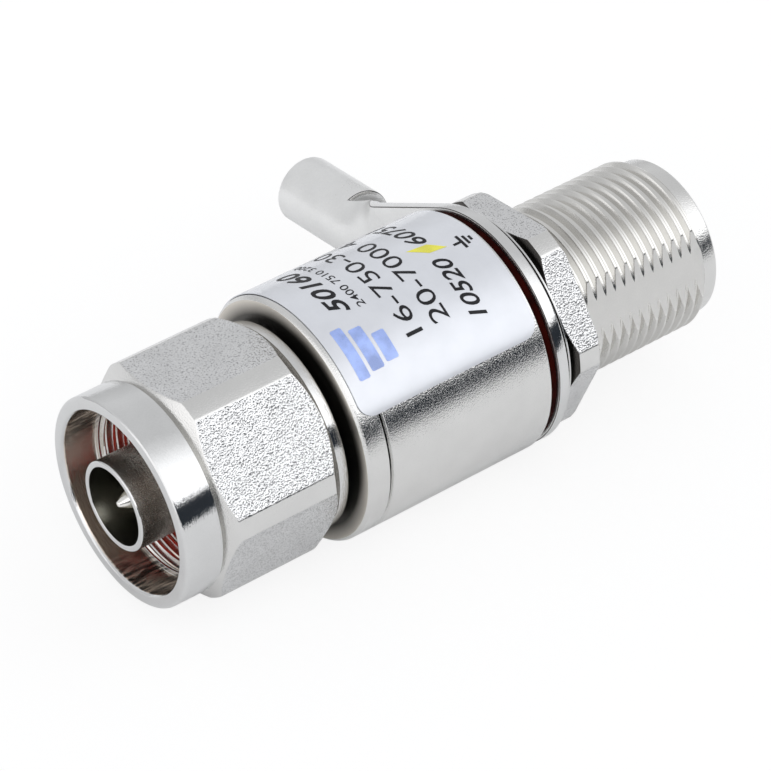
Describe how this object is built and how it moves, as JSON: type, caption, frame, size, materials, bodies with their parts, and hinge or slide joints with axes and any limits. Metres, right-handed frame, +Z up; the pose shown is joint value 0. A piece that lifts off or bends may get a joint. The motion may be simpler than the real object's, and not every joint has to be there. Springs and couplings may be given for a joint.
{
  "type": "coaxial lightning arrestor",
  "caption": "Inline coaxial surge arrestor: N plug with hexagonal coupling nut, round gas tube body, threaded bulkhead jack with panel nut and crimp earth lug.",
  "frame": {"origin": "centre of the box's bottom, on the surface that the body lies on", "axes": "+X along the connector's axis from the plug to the jack, +Y towards the earth lug, +Z up"},
  "size_m": [0.0588, 0.04, 0.0223],
  "materials": {
    "nickel_plate": "nickel plated brass, satin",
    "contact_plate": "white bronze plated, satin",
    "silver_plate": "silver plated, smooth",
    "tinned_copper": "tinned copper, matte",
    "spring_steel": "bright spring wire",
    "red_silicone": "dark red silicone",
    "black_rubber": "black nitrile",
    "ptfe": "white, waxy",
    "ceramic": "white, unglazed",
    "label_film": "laminated film"
  },
  "bodies": {
    "arrestor": {"main_body": "nickel_plate", "plug_housing": "nickel_plate", "gas_tube_cap": "nickel_plate", "plug_outer_contact": "contact_plate", "jack_bush": "contact_plate", "gas_tube_inner_electrode": "contact_plate", "gas_tube_outer_electrode": "contact_plate", "plug_pin": "silver_plate", "jack_socket": "silver_plate", "centre_conductor": "silver_plate", "coupling_snap_ring": "spring_steel", "gas_tube_spring": "spring_steel", "plug_gasket": "red_silicone", "panel_gasket": "red_silicone", "housing_seal": "black_rubber", "plug_insulator": "ptfe", "jack_insulator": "ptfe", "gas_tube_ceramic": "ceramic", "label": "label_film"},
    "coupling_nut": {"coupling_nut": "nickel_plate"},
    "ground_lug": {"ground_lug": "tinned_copper"},
    "lock_washer": {"lock_washer": "nickel_plate"},
    "panel_nut": {"panel_nut": "nickel_plate"}
  },
  "joints": [
    {"name": "coupling_nut_spin", "type": "hinge", "parent": "arrestor", "child": "coupling_nut", "pos_m": [-0.0211, -0.00894, 0.0111], "axis": [1, 0, 0], "continuous": true},
    {"name": "ground_lug_swivel", "type": "hinge", "parent": "arrestor", "child": "ground_lug", "pos_m": [0.00905, -0.00894, 0.0111], "axis": [1, 0, 0], "continuous": true},
    {"name": "lock_washer_slide", "type": "slide", "parent": "arrestor", "child": "lock_washer", "axis": [1, 0, 0], "range_m": [0, 0.01376]},
    {"name": "panel_nut_spin", "type": "hinge", "parent": "lock_washer", "child": "panel_nut", "pos_m": [0.0117, -0.00894, 0.0111], "axis": [1, 0, 0], "range_deg": [0, 4680]}
  ],
  "couplings": [
    {"joint": "lock_washer_slide", "follows": "panel_nut_spin", "m_per_rad": 0.00016844}
  ]
}
